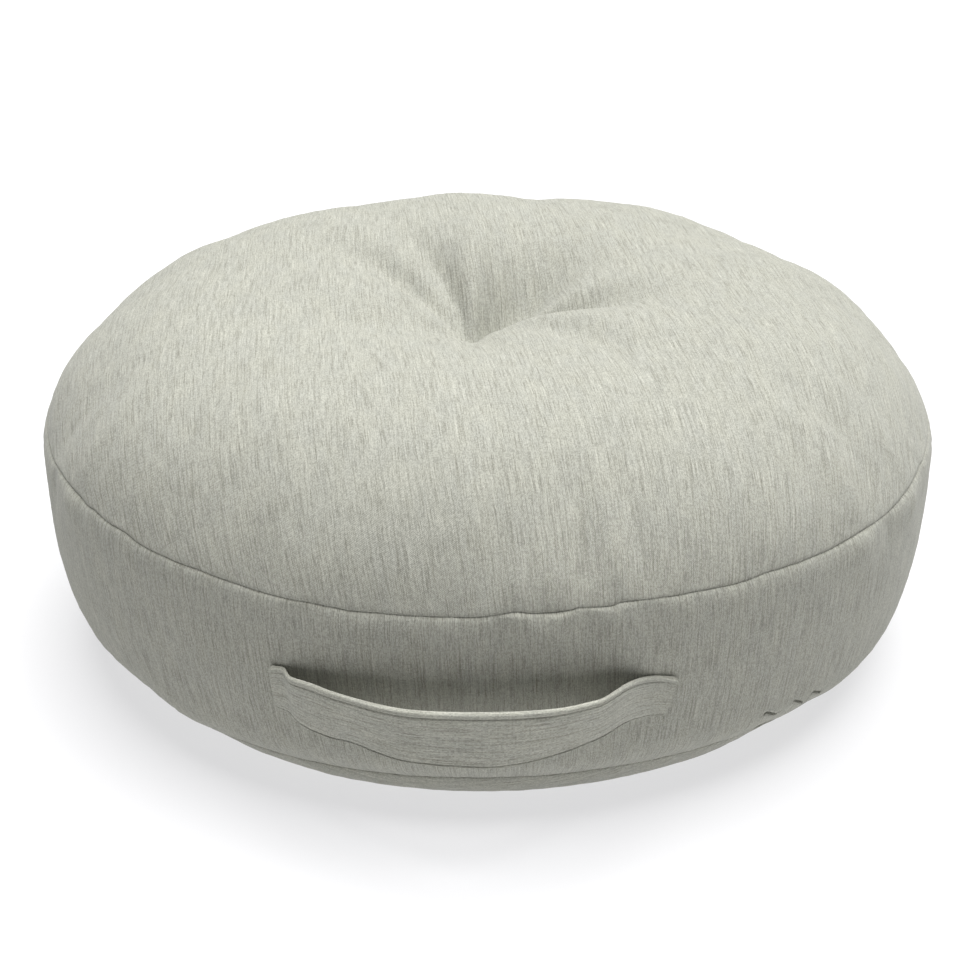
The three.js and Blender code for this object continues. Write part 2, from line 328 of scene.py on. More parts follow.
# Cloth whose warp lies across, on the bottom panel and the strap, is painted a little lighter than cloth
# whose warp hangs down: a painted sheen that stands in for the light the crosswise yarns catch. Each
# panel's cloth has its warp's turn and its painted sheen, the share by which it is lightened.
ACROSS_PAINTED_SHEEN = 1.08
PANEL_CLOTHS = (
    ("top_panel", math.radians(-9), 1),
    ("side_band", 0, 1),
    ("bottom_panel", math.pi / 2, ACROSS_PAINTED_SHEEN),
)

# The floor's paint, the colour of its glow, and half its width in metres.
FLOOR_COLOUR, FLOOR_LIGHT, FLOOR_REACH = (0.3, 0.3, 0.3, 1), (0.98, 0.98, 1, 1), 12


class CushionSizes(bpy.types.PropertyGroup):
    """Sizes of the filled cushion."""

    seam_radius: Length(
        name="Seam radius", description="Radius of the top panel at its seam", default=0.305
    )
    band_height: Length(name="Band height", description="Side band between its seams", default=0.133)
    base_rise: Length(name="Base rise", description="Bottom seam above the floor", default=0.023)
    rest_radius: Length(name="Resting radius", description="Flat part on the floor", default=0.238)
    crown_rise: Length(
        name="Crown rise", description="Top of the filling above the top seam", default=0.087
    )
    crown_flatness: FloatProperty(
        name="Crown flatness", description="Higher is a flatter top with a rounder shoulder", default=5.3
    )
    crown_shoulder: FloatProperty(
        name="Crown shoulder", description="Lower meets the seam more steeply", default=0.83
    )
    tuft_x: Length(name="Tuft X", description="Place of the tuft", default=-0.010)
    tuft_y: Length(name="Tuft Y", description="Place of the tuft", default=-0.008)
    tuft_depth: Length(name="Tuft depth", description="How far the tuft pulls the top down", default=0.046)
    tuft_reach: Length(name="Tuft reach", description="How far out the tuft pulls", default=0.063)
    seam_sink: Length(name="Seam sink", description="Depth of the groove at the top seam", default=0.0016)
    lower_share: FloatProperty(
        name="Lower share", description="Depth of the groove at the bottom seam, as a share of the top's",
        default=0.7,
    )
    seam_lip: Length(name="Seam lip", description="How soon the cloth rolls out of a seam", default=0.0010)
    lower_lip: Length(name="Lower lip", description="The same at the bottom seam", default=0.0005)
    slit_depth: Length(name="Slit depth", description="Depth of the slits in the band", default=0.0026)
    slit_width: Length(name="Slit width", description="Half width of the slits in the band", default=0.0007)
    seam_ease: FloatProperty(
        name="Seam ease", description="Extra cloth eased onto the seams, as a share of their length",
        default=0.045, min=0, max=0.1,
    )
    ease_reach: Length(
        name="Ease reach", description="How far from a seam the extra cloth lies", default=0.035
    )
    settle_columns: IntProperty(
        name="Settling columns", description="Columns round an eighth in the cloth simulation", default=52
    )
    settle_cap: Length(
        name="Settling cap", description="The furthest that the simulation moves the cover", default=0.006
    )
    yarn_fan: FloatProperty(
        name="Yarn fan", description="How soon the top panel's yarns draw together to the back, per metre",
        default=0.36,
    )
    band_fan: FloatProperty(
        name="Band fan", description="How soon the band's yarns spread towards the top, per metre",
        default=0.3,
    )
    band_lean: FloatProperty(
        name="Band lean", description="Slope of the band's yarns to the left as they rise, all round",
        default=0.045,
    )
    columns: IntProperty(
        name="Columns", description="Mesh columns round an eighth of the cushion", default=80
    )
    rows: IntProperty(
        name="Band rows", description="Mesh rows across the band between its seams", default=32
    )


class StrapSizes(bpy.types.PropertyGroup):
    """Sizes of the handle."""

    width: Length(
        name="Width", description="Width that the section is drawn at, before its stations", default=0.033
    )
    thickness: Length(name="Thickness", description="Thickness of the folded strap", default=0.0032)
    seat_gap: Length(name="Seat gap", description="Gap between the sewn ends and the band", default=0.0004)
    upper_inset: Length(
        name="Upper inset", description="Topstitching in from the upper edge", default=0.0036
    )
    lower_hem: Length(name="Lower hem", description="Cloth below the lower topstitching", default=0.0015)
    end_fold: FloatProperty(
        name="End fold", description="Extra thickness of the ends at the upper edge, as a share",
        default=0.45,
    )
    end_thin: FloatProperty(
        name="End thinning", description="Thickness lost at the lower edge's ends, as a share",
        default=0.65,
    )
    end_inset: Length(name="End inset", description="Stitching in from the sewn ends", default=0.0032)
    end_skew: Angle(name="End skew", description="How far the right end leans", default=math.radians(0.4))
    corner_radius: Length(
        name="Corner radius", description="Rounding of the corners at the ends", default=0.0026
    )
    stitch_pitch: Length(name="Stitch pitch", description="Distance from stitch to stitch", default=0.0032)
    thread_radius: Length(name="Thread radius", description="Radius of the sewing thread", default=0.00024)
    stitch_share: FloatProperty(
        name="Stitch share", description="Length of a stitch as a share of the pitch", default=0.82
    )
    steps: IntProperty(name="Steps", description="Mesh steps along the strap", default=230)


class ClothColours(bpy.types.PropertyGroup):
    """Colours of the heathered cloth and its thread."""

    light: Colour(name="Light yarn", description="The palest yarn", default=(0.392, 0.392, 0.340, 1))
    dark: Colour(name="Dark yarn", description="The darkest slubs", default=(0.162, 0.158, 0.125, 1))
    cool: Colour(
        name="Cool tint", description="Where the yarn turns greyer", default=(0.377, 0.379, 0.335, 1)
    )
    thread: Colour(name="Thread", description="Sewing thread", default=(0.34, 0.34, 0.29, 1))


class StageSettings(bpy.types.PropertyGroup):
    """The camera, floor and lights."""

    azimuth: Angle(name="Azimuth", description="Camera round to the right", default=math.radians(2.5))
    elevation: Angle(
        name="Elevation", description="Camera above the horizon", default=math.radians(26.84)
    )
    distance: Length(name="Distance", description="Camera from its aim", default=1.509)
    aim_side: Length(name="Aim aside", description="Aim to the right of the middle", default=-0.0052)
    aim_height: Length(name="Aim height", description="Aim above the floor", default=0.089)
    roll: Angle(name="Roll", description="Camera turned about its axis", default=math.radians(0.27))
    lens: FloatProperty(name="Lens", description="Focal length in mm on a 36 mm sensor", default=78.75)
    key_power: FloatProperty(
        name="Key power", description="Overhead light, in watts per square metre", default=5.62
    )
    key_spread: Angle(
        name="Key spread", description="Width of the overhead light in the sky", default=math.radians(60)
    )
    key_aside: FloatProperty(
        name="Key aside", description="Lean of the overhead light to the right", default=0.12
    )
    key_behind: FloatProperty(
        name="Key behind", description="Lean of the overhead light to the back", default=0.23
    )
    floor_glow: FloatProperty(
        name="Floor glow", description="Light given off by the pale floor", default=0.64
    )
    fill_strength: FloatProperty(name="Fill", description="Light that the surroundings give", default=0.12)
    backdrop_strength: FloatProperty(
        name="Backdrop", description="Brightness of the surroundings as the camera sees them", default=1.0
    )


def smoothstep(value, low, high):
    """0 below low and 1 above high, with a smooth rise between them."""
    share = np.clip((value - low) / (high - low), 0, 1)
    return share * share * (3 - 2 * share)


def read_table(rows, key, column, at):
    """A smooth value through a table's rows, read at the key column's values."""
    points = np.array([(row[key], row[column]) for row in rows], float)
    before = np.vstack([points[:1], points[:-2], points[-2:-1]])[: len(points) - 1]
    start, stop = points[:-1], points[1:]
    after = np.vstack([points[2:], points[-1:]])
    curve = []
    for weight in np.linspace(0, 1, 12, endpoint=False):
        tangent_in, tangent_out = (stop - before) / 2, (after - start) / 2
        square, cube = weight**2, weight**3
        curve.append(
            (2 * cube - 3 * square + 1) * start
            + (cube - 2 * square + weight) * tangent_in
            + (3 * square - 2 * cube) * stop
            + (cube - square) * tangent_out
        )
    curve = np.vstack([np.stack(curve, 1).reshape(-1, 2), points[-1:]])
    return np.interp(at, curve[:, 0], curve[:, 1])


def azimuth_of(x, y):
    """Degrees from the front, positive to the right."""
    return np.degrees(np.arctan2(x, -y))


def top_seam_height(s):
    return s.base_rise + s.band_height


def band_radius(s, height):
    """The band's plain radius at a height."""
    down = np.clip((top_seam_height(s) - height) / s.band_height, 0, 1)
    return s.seam_radius * read_table(BAND_STATIONS, "down", "radius", down)


def crown_height(s, radius):
    """The crown's plain height at a radius."""
    share = np.minimum(radius / s.seam_radius, 1)
    return top_seam_height(s) + s.crown_rise * (1 - share**s.crown_flatness) ** s.crown_shoulder


def seam_lift(s, azimuth, height):
    """How far the seams' waviness raises a point of the plain section."""
    top = MM * read_table(TOP_SEAM, "azimuth", "lift", azimuth)
    bottom = MM * read_table(BOTTOM_SEAM, "azimuth", "lift", azimuth)
    seam = top_seam_height(s)
    on_band = bottom + (top - bottom) * (height - s.base_rise) / s.band_height
    on_top = top * (1 - (height - seam) / s.crown_rise)
    under = bottom * height / s.base_rise
    return np.where(height < s.base_rise, under, np.where(height > seam, on_top, on_band))


def tuft_relief(s, x, y):
    """How far the tuft and its folds lower the top panel."""
    out_x, out_y = x - s.tuft_x, y - s.tuft_y
    radius = np.hypot(out_x, out_y)
    share = radius / s.seam_radius
    sink = s.tuft_depth * np.exp(-radius / s.tuft_reach)
    for fold in TUFT_FOLDS:
        along = np.radians(fold["angle"] + fold["bend"] * (share - fold["peak"]))
        off = np.arctan2(out_y, out_x) - along
        across = radius * np.sin(off)
        width = MM * fold["spread"] * (FOLD_NARROWEST + (1 - FOLD_NARROWEST) * share / fold["peak"])
        swell = share / fold["peak"] * np.exp(1 - share / fold["peak"])
        fade = 1 - smoothstep(share, fold["peak"], fold["end"])
        facing = np.cos(off) > 0
        sink = sink + MM * fold["depth"] * swell * fade * np.exp(-((across / width) ** 2)) * facing
    return sink * (1 - smoothstep(np.hypot(x, y) / s.seam_radius, *FOLDS_FADE))


def gather_relief(s, x, y, height):
    """How far the gathers at the top seam pull the cloth in."""
    radius = np.hypot(x, y)
    azimuth = azimuth_of(x, y)
    pull = np.zeros_like(x)
    for gather in SEAM_GATHERS:
        off = np.radians(azimuth - gather["azimuth"])
        across = np.arctan2(np.sin(off), np.cos(off)) * s.seam_radius / (MM * gather["spread"])
        reach = MM * gather["reach"]
        inward = (s.seam_radius - radius) / reach
        down = np.maximum(top_seam_height(s) - height, 0) / (GATHER_DOWN * reach)
        fade = np.exp(-(inward**2) - down**2) * (1 - np.exp(-(inward + down) * GATHER_ONSET))
        pull += MM * gather["depth"] * fade * np.exp(-(across**2))
    return pull


def slit_runs(s, azimuth):
    """For each slit, how far along it each azimuth lies from its middle."""
    return [band_radius(s, MM * row["height"]) * np.radians(azimuth - row["azimuth"]) for row in SLITS]


def slit_relief(s, azimuth, height):
    """How far the slits sink the cloth, with the lip that stands out below each and its dent."""
    sink = np.zeros_like(height)
    for slit, along in zip(SLITS, slit_runs(s, azimuth)):
        above = (height - MM * slit["height"] - SLIT_SLOPE * along) / s.slit_width
        cut = np.exp(-(above**2)) - LIP_SHARE * np.exp(-(((above + LIP_DOWN) / LIP_WIDTH) ** 2))
        within = 1 - smoothstep(abs(along), *SLIT_FADE)
        off = (along - DENT_ALONG) ** 2 + (height - DENT_HEIGHT) ** 2
        sink += s.slit_depth * cut * within + MM * slit["dent"] * np.exp(-off / DENT_SIZE**2)
    return sink


def margin_tuck(s, azimuth, height, radius):
    """How far the bottom panel is drawn in under its seam."""
    tuck = MM * read_table(MARGIN_TUCKS, "azimuth", "tuck", azimuth)
    share = np.clip(height / s.base_rise, 0, 1)
    return tuck * (1 - share**2) * smoothstep(radius, TUCK_START, s.rest_radius)


def side_tuck(s, azimuth, height, radius):
    """How far the lower half of the side is drawn in, with the bottom panel below it."""
    tuck = MM * read_table(SIDE_TUCKS, "azimuth", "tuck", azimuth)
    fade = 1 - smoothstep(height, s.base_rise, s.base_rise + SIDE_TUCK_TOP * s.band_height)
    return tuck * fade * smoothstep(radius, TUCK_START, s.rest_radius)


def shoulder_dip(s, azimuth, radius):
    """How far the back of the crown's shoulder lies below its plain section."""
    share = radius / s.seam_radius
    dip = MM * read_table(SHOULDER_DIPS, "azimuth", "dip", azimuth)
    return dip * smoothstep(share, *DIP_ONSET) * (1 - smoothstep(share, *DIP_FADE))


def lumps(points, wave, count=18, seed=3):
    """A smooth seeded unevenness between -1 and 1, of about the wave length given."""
    draw = np.random.default_rng(seed)
    total = np.zeros(len(points))
    for _ in range(count):
        direction = draw.normal(size=3)
        direction *= 2 * math.pi / wave / np.linalg.norm(direction) * draw.uniform(0.6, 1.5)
        total += np.cos(points @ direction + draw.uniform(0, 2 * math.pi))
    return total / math.sqrt(2 * count)


def cells(grid):
    """A grid's values at the four corners of each of its cells, in order round the cell."""
    corners = [grid[:-1, :-1], grid[1:, :-1], grid[1:, 1:], grid[:-1, 1:]]
    return np.stack(corners, 2).reshape(-1, 4, *grid.shape[2:])


def round_grid(half):
    """A square grid drawn out to a round: each point's ring and angle, the quads and the rim."""
    i, j = np.meshgrid(np.arange(-half, half + 1), np.arange(-half, half + 1), indexing="ij")
    i, j = i.ravel(), j.ravel()
    ring = np.maximum(abs(i), abs(j))
    across, up = np.where(i == 0, 1, i), np.where(j == 0, 1, j)
    sideways = math.pi / 4 * j / across + np.where(i < 0, math.pi, 0)
    upright = math.pi / 2 - math.pi / 4 * i / up + np.where(j < 0, math.pi, 0)
    angle = np.where(abs(i) >= abs(j), sideways, upright) % (2 * math.pi)
    quads = cells(np.arange(len(ring)).reshape(2 * half + 1, -1))
    rim = np.flatnonzero(ring == half)
    rim = rim[np.argsort(angle[rim])]
    return ring, angle, quads, rim


def runs_along(profile):
    """How far along a profile each of its points lies."""
    return np.concatenate([[0], np.cumsum(np.linalg.norm(np.diff(profile, axis=0), axis=1))])


def ring_distances(length, half, seam_rows, closeness):
    """Distances of the rings from the centre, closer together at the centre and at the seam."""
    beside = MM * np.array(seam_rows[::-1] + (0,))
    inner = half - len(seam_rows)
    share = (np.arange(inner) + 0.5) / inner
    pace = np.interp(share, [0, 0.3, 0.85, 1], [closeness, 1, 1, 0.55])
    run = np.concatenate([[0], np.cumsum(pace)])
    return np.concatenate([run[:-1] / run[-1] * (length - beside[0]), length - beside])


def seam_groove(s, distance, height):
    """How deep the cloth lies below its plain shape at a distance from a seam."""
    upper = height > s.base_rise + s.band_height / 2
    depth = s.seam_sink * np.where(upper, 1, s.lower_share)
    lip = np.where(upper, s.seam_lip, s.lower_lip)
    return depth * np.exp(-((distance / lip) ** GROOVE_POWER))


def shaped(s, plain, seam_distance, on_top):
    """The cover's points, moved from the plain section by its seams, tuft, folds and gathers."""
    x, y, height = plain.T
    radius = np.maximum(np.hypot(x, y), 1e-9)
    azimuth = azimuth_of(x, y)
    pull = gather_relief(s, x, y, height) * (height > s.base_rise + GATHERS_END)
    unevenness = lumps(plain, LUMP_WAVE) * (1 - np.exp(-seam_distance / LUMP_ONSET))
    within = np.where(on_top, TOP_PULL, 1) * pull + seam_groove(s, seam_distance, height)
    within -= SIDE_LUMPS * unevenness
    on_band = ~on_top & (height > s.base_rise)
    within += np.where(on_band, slit_relief(s, azimuth, height), 0)
    on_floor = (height < 1e-5) & (radius < s.rest_radius + 1e-6)
    tuck = np.where(height < s.base_rise, margin_tuck(s, azimuth, height, radius), 0)
    tuck += side_tuck(s, azimuth, height, radius)
    inward = 1 - (np.where(on_floor, 0, within) + tuck) / radius
    lowered = tuft_relief(s, x, y) + shoulder_dip(s, azimuth, radius) + TOP_SINK * pull
    sink = np.where(on_top, lowered - TOP_LUMPS * unevenness, 0)
    lift = seam_lift(s, azimuth, height)
    return np.stack([x * inward, y * inward, np.maximum(height + lift - sink, 0)], 1)


def round_panel(profile, half, seam_rows, closeness, ring, turn):
    """A round panel's points, their distance from its seam, and their place on the flat cloth."""
    run = runs_along(profile)
    distances = ring_distances(run[-1], half, seam_rows, closeness)[ring]
    radius, height = (np.interp(distances, run, column) for column in profile.T)
    points = np.column_stack([turn * radius[:, None], height])
    return points, run[-1] - distances, turn * distances[:, None]


def band_rows(s, rows, seam_rows, slit_rows, azimuths):
    """How far down the band its mesh rows lie, and each row's heights, which slant with the slits."""
    seam = top_seam_height(s)
    beside = MM * np.array(seam_rows)
    even = np.linspace(beside[-1], s.band_height - beside[-1], rows + 1)[1:-1]
    slit_down = seam - MM * SLIT_HEIGHT
    slits = slit_down + MM * np.array([-row for row in slit_rows[:0:-1]] + list(slit_rows))
    if slit_rows:
        even = even[abs(even - slit_down) > slits[-1] - slit_down + SLIT_ROW_GAP]
    downs = np.sort(np.concatenate([beside, even, slits, s.band_height - beside]))
    runs = slit_runs(s, azimuths)
    slant = sum(SLIT_SLOPE * run * (1 - smoothstep(abs(run), *SLANT_FADE)) for run in runs)
    reach = np.exp(-(((downs - slit_down) / SLANT_REACH) ** 2))
    return downs, (seam - downs)[:, None] + slant * reach[:, None]


def cover_mesh(s, half, rows, seam_rows, slit_rows=()):
    """The three sewn panels as one closed mesh, with the cloth's own run as its UV map, in metres.

    Returns its points, quads, UVs, the panel of each quad, and for each point its place in the plain
    section, its distance from the nearest seam and its panel.
    """
    ring, angle, quads, rim = round_grid(half)
    turn = np.stack([np.cos(angle), np.sin(angle)], 1)
    around, seam = turn[rim], top_seam_height(s)

    radii = s.seam_radius * np.sin(np.linspace(0, math.pi / 2, CROWN_STEPS))
    crown = np.stack([radii, crown_height(s, radii)], 1)
    top, top_from_seam, top_uv = round_panel(crown, half, seam_rows, TUFT_CLOSENESS, ring, turn)
    top_uv[:, 0] *= 1 + s.yarn_fan * top_uv[:, 1]

    azimuths = azimuth_of(*around.T)
    downs, heights = band_rows(s, rows, seam_rows, slit_rows, azimuths)
    band = np.dstack([around * band_radius(s, heights)[:, :, None], heights]).reshape(-1, 3)
    band_from_seam = np.repeat(np.minimum(downs, s.band_height - downs), len(rim))

    rise = np.linspace(0, 1, MARGIN_STEPS)
    margin = band_radius(s, s.base_rise) * read_table(MARGIN_STATIONS, "rise", "radius", rise)
    base = np.vstack([[0, 0], np.stack([margin, s.base_rise * rise], 1)])
    bottom, bottom_from_seam, bottom_uv = round_panel(base, half, seam_rows, 1, ring, turn)

    plain = np.vstack([top, band, bottom])
    from_seam = np.concatenate([top_from_seam, band_from_seam, bottom_from_seam])
    on_top = np.arange(len(plain)) < len(top)
    points = shaped(s, plain, from_seam, on_top & (from_seam > 1e-6))

    # The band's loops run from the top panel's rim down to the bottom panel's, and each one closes.
    first_bottom = len(top) + len(band)
    between = np.arange(len(top), first_bottom).reshape(len(downs), -1)
    closed = np.arange(len(rim) + 1) % len(rim)
    loops = np.vstack([rim, between, first_bottom + rim])[:, closed]
    top_level, bottom_level = np.full(len(rim), seam), np.full(len(rim), s.base_rise)
    level = np.vstack([top_level, heights, bottom_level])[:, closed]
    lean = s.band_fan * s.seam_radius * np.sin(np.radians(azimuths)) - s.band_lean
    along = s.seam_radius * 2 * math.pi / len(rim) * np.arange(len(rim) + 1)
    band_uv = np.stack([along - lean[closed] * (level - seam), level], 2)

    faces = np.vstack([quads, cells(loops), first_bottom + quads[:, ::-1]])
    uvs = np.concatenate([top_uv[quads], cells(band_uv), bottom_uv[quads[:, ::-1]] * (1, -1)])
    panels = np.repeat([0, 1, 2], [len(quads), len(faces) - 2 * len(quads), len(quads)])
    point_panels = np.repeat([0, 1, 2], [len(top), len(band), len(bottom)])
    return points, faces, uvs, panels, plain, from_seam, point_panels


def around_means(s, values, plain, panels):
    """Each point's value averaged round the cushion, over the points at about its place."""
    radius = np.hypot(plain[:, 0], plain[:, 1])
    level = np.where(panels == 1, plain[:, 2] / s.band_height, radius / s.seam_radius)
    group = panels * (SETTLE_STEPS + 2) + np.round(level * SETTLE_STEPS).astype(int)
    total = np.bincount(group, values)
    return (total / np.maximum(np.bincount(group), 1))[group]


def held_share(s, plain, from_seam, panels):
    """How firmly the simulation holds each point: the seams and the underside fast, the tuft less."""
    hold = np.where(from_seam < 1e-5, 1.0, 0.0)
    radius = np.hypot(plain[:, 0] - s.tuft_x, plain[:, 1] - s.tuft_y)
    near_tuft = TUFT_HOLD * (1 - smoothstep(radius, *TUFT_HOLD_FADE))
    hold = np.where(panels == 0, np.maximum(hold, near_tuft), hold)
    return np.where((panels == 2) & (plain[:, 2] < UNDERSIDE_HELD), 1.0, hold)


def settled_shift(s):
    """How pressure settles the cover between its seams, where extra cloth was eased onto them.

    A coarse copy of the cover is held at its seams, its tuft and its underside. Its cloth is cut a
    little fuller near the seams, so the pressure of the filling raises it there into puckers. Returns
    the copy's points and their shifts, without the even swelling that the plain section already has.
    """
    coarse = cover_mesh(s, s.settle_columns, SETTLE_ROWS, SETTLE_SEAM_ROWS)
    points, faces, uvs, _, plain, from_seam, panels = coarse
    scatter = np.random.default_rng(11).normal(scale=SETTLE_SCATTER, size=points.shape)
    copy = make_object("settling", points + scatter, faces, uvs)
    copy.shape_key_add(name="Basis")
    cut = copy.shape_key_add(name="cut")
    ease = 1 + s.seam_ease * np.exp(-((from_seam / s.ease_reach) ** 2))
    fuller = points * np.stack([ease, ease, np.ones_like(ease)], 1)
    cut.data.foreach_set("co", fuller.astype(np.float32).ravel())

    hold = np.round(held_share(s, plain, from_seam, panels), 2)
    group = copy.vertex_groups.new(name="held")
    for level in np.unique(hold[hold > 0]):
        group.add(np.flatnonzero(hold == level).tolist(), float(level), "REPLACE")

    cloth = copy.modifiers.new("cloth", "CLOTH")
    for name, value in CLOTH_SETTINGS.items():
        setattr(cloth.settings, name, value)
    cloth.settings.rest_shape_key = cut
    cloth.settings.effector_weights.gravity = 0
    cloth.collision_settings.use_collision = False
    cloth.point_cache.frame_start, cloth.point_cache.frame_end = 1, SETTLE_FRAMES
    scene = bpy.context.scene
    for step in range(1, SETTLE_FRAMES + 1):
        scene.frame_set(step)
    posed = copy.evaluated_get(bpy.context.evaluated_depsgraph_get()).data
    settled = np.empty(len(points) * 3, np.float32)
    posed.vertices.foreach_get("co", settled)
    scene.frame_set(1)
    bpy.data.objects.remove(copy)

    shift = settled.reshape(-1, 3).astype(float) - points
    turn = plain[:, :2] / np.maximum(np.hypot(plain[:, 0], plain[:, 1]), 1e-9)[:, None]
    outward = (shift[:, :2] * turn).sum(1)
    shift[:, :2] -= turn * around_means(s, outward, plain, panels)[:, None]
    shift[:, 2] -= around_means(s, shift[:, 2], plain, panels)
    size = np.linalg.norm(shift, axis=1)
    shift *= (s.settle_cap * np.tanh(size / s.settle_cap) / np.maximum(size, 1e-9))[:, None]
    return points, shift


def carry_shift(points, coarse, shift, reach=0.0035, near=9):
    """The coarse copy's shifts carried to the points of the fine cover."""
    tree = KDTree(len(coarse))
    for index, place in enumerate(coarse.tolist()):
        tree.insert(place, index)
    tree.balance()
    carried = np.empty_like(points)
    for index, place in enumerate(points.tolist()):
        found = tree.find_n(place, near)
        picks = [entry[1] for entry in found]
        weights = np.exp(-((np.array([entry[2] for entry in found]) / reach) ** 2))
        carried[index] = weights @ shift[picks] / max(weights.sum(), 1e-12)
    return carried


def put(name, data):
    """An object in the scene."""
    thing = bpy.data.objects.new(name, data)
    bpy.context.scene.collection.objects.link(thing)
    return thing


def make_object(name, points, faces, uvs, material_indices=None):
    """A smooth-shaded object in the scene, with the cloth's run as its UV map."""
    mesh = bpy.data.meshes.new(name)
    mesh.from_pydata(points.tolist(), [], faces.tolist())
    layer = mesh.uv_layers.new(name="cloth")
    layer.data.foreach_set("uv", uvs.reshape(-1).astype(np.float32))
    if material_indices is not None:
        mesh.polygons.foreach_set("material_index", material_indices.astype(np.int32))
    mesh.polygons.foreach_set("use_smooth", np.ones(len(mesh.polygons), bool))
    mesh.update()
    return put(name, mesh)


def strap_value(column, azimuth):
    return MM * read_table(STRAP_STATIONS, "azimuth", column, azimuth)


def strap_surface(s, strap, azimuth, across, depth):
    """A point of the strap: across from -1 at the lower edge to 1 at the upper, depth outwards."""
    kick = strap_value("kick", azimuth)
    half = strap_value("width", azimuth) / 2
    height = strap_value("centre", azimuth) + across * np.sqrt(half**2 - kick**2)
    lift = np.maximum(strap_value("lift", azimuth) - kick * across, 0)
    level = height - seam_lift(s, azimuth, height)
    radius = band_radius(s, level) + strap.seat_gap + lift + depth
    turn = np.radians(azimuth)
    return np.stack([radius * np.sin(turn), -radius * np.cos(turn), height], -1)


def strap_section(strap, pinched=1):
    """The folded strap's section, round its edges and pinched at its topstitching: (across, depth)."""
    half, thick = strap.width / 2, strap.thickness

    def half_face(inset, roll, dip, lip):
        """The outer face from one edge to the middle."""
        offsets = inset * np.array(FACE_PLACES)
        from_edge = np.append(offsets[offsets > roll + 0.0001], half)
        pinch = pinched * dip * np.exp(-(((from_edge - inset) / PINCH_WIDTH) ** 2))
        swell = 1 + lip * np.exp(-(((from_edge - SWELL_PLACE * inset) / (SWELL_WIDTH * inset)) ** 2))
        return np.stack([from_edge, thick * (0.5 + (swell - pinch) / 2)], 1)

    def cap(roll):
        """Round one edge, from the outer face to the inner one."""
        front, back = np.linspace(math.pi / 2, 0, 7), np.linspace(0, -math.pi / 2, 4)[1:]
        depth = INNER_ROLL + (thick - INNER_ROLL) * np.sin(front)
        outer = np.stack([roll * (1 - np.cos(front)), depth], 1)
        inner = INNER_ROLL * np.stack([1 - np.cos(back), 1 + np.sin(back)], 1)
        return np.vstack([outer, inner])

    upper_edge, lower_edge = (half, 0), (-half - strap.lower_hem, 0)
    upper_face = half_face(strap.upper_inset, UPPER_ROLL, UPPER_PINCH, UPPER_SWELL) * (-1, 1) + upper_edge
    lower_face = half_face(strap.lower_hem, LOWER_ROLL, LOWER_PINCH, LOWER_SWELL) + lower_edge
    outer = np.vstack([upper_face[:-1], (0, thick), lower_face[:-1][::-1]])
    back = np.stack([outer[::-1, 0], np.zeros(len(outer))], 1)
    upper_cap, lower_cap = cap(UPPER_ROLL) * (-1, 1) + upper_edge, cap(LOWER_ROLL) + lower_edge
    return np.vstack([upper_cap[::-1], outer, lower_cap, back])


def end_plump(strap, from_end, across):
    """The strap's thickness near a sewn end, fuller above and pressed flat below, as a share."""
    up = (1 + np.clip(across, -1, 1)) / 2
    fuller = strap.end_fold * (1 - smoothstep(from_end, *END_FOLD)) * up
    flatter = strap.end_thin * (1 - smoothstep(from_end, *END_FLAT)) * (1 - up)
    return 1 + fuller - flatter


def strap_length(s):
    return s.seam_radius * math.radians(STRAP_STATIONS[-1]["azimuth"] - STRAP_STATIONS[0]["azimuth"])


def strap_azimuth(s, strap, run, across):
    """The azimuth at a run along the strap, with the lean of its right end."""
    length = strap_length(s)
    lean = strap.end_skew * smoothstep(run, length - LEAN_REACH, length)
    return STRAP_STATIONS[0]["azimuth"] + np.degrees(run / s.seam_radius + lean * across)


def strap_mesh(s, strap):
    """The strap as a tube of rings, with its UV map along and round it, and the points in a ring."""
    section, plain = strap_section(strap), strap_section(strap, 0)
    across = section[:, 0] / (strap.width / 2)
    length = strap_length(s)
    close = MM * np.array(END_RINGS)
    even = np.linspace(EVEN_RINGS, length - EVEN_RINGS, strap.steps)
    runs = np.concatenate([close, even, length - close[::-1]])

    run = runs[:, None]
    from_end = np.minimum(run, length - run)
    into_corner = np.maximum(strap.corner_radius - from_end, 0)
    narrowing = strap.corner_radius - np.sqrt(strap.corner_radius**2 - into_corner**2)
    into_edge = np.maximum(1 - 2 * from_end / strap.thickness, 0)
    plump = np.maximum(np.sqrt(1 - into_edge**2), THINNEST_EDGE) * end_plump(strap, from_end, across)
    rim = 1 + RIM_SWELL * np.exp(-(((from_end - RIM_PLACE) / RIM_WIDTH) ** 2))
    depth = plain[:, 1] + smoothstep(from_end, *PINCH_ONSET) * (section[:, 1] - plain[:, 1])
    level = across * (1 - 2 * narrowing / strap.width)
    azimuth = strap_azimuth(s, strap, run, across)
    points = strap_surface(s, strap, azimuth, level, depth * plump * rim).reshape(-1, 3)

    count = len(section)
    loops = (np.arange(count + 1) % count)[:, None] + count * np.arange(len(runs))
    girth = runs_along(np.vstack([section, section[:1]]))
    return points, cells(loops), cells(np.dstack(np.meshgrid(runs, girth))), count


def stitch_runs(s, strap):
    """The two runs of topstitching along the strap, as points on its outer face."""
    length = strap_length(s)
    run = np.linspace(strap.end_inset, length - strap.end_inset, STITCH_STEPS)
    from_end = np.minimum(run, length - run)
    runs = []
    for across, pinch in ((1 - 2 * strap.upper_inset / strap.width, UPPER_PINCH), (-1.0, LOWER_PINCH)):
        plump = (1 - pinch / 2 * smoothstep(from_end, *PINCH_ONSET)) * end_plump(strap, from_end, across)
        depth = strap.thickness * plump + THREAD_LIFT * strap.thread_radius
        runs.append(strap_surface(s, strap, strap_azimuth(s, strap, run, across), across, depth))
    return runs


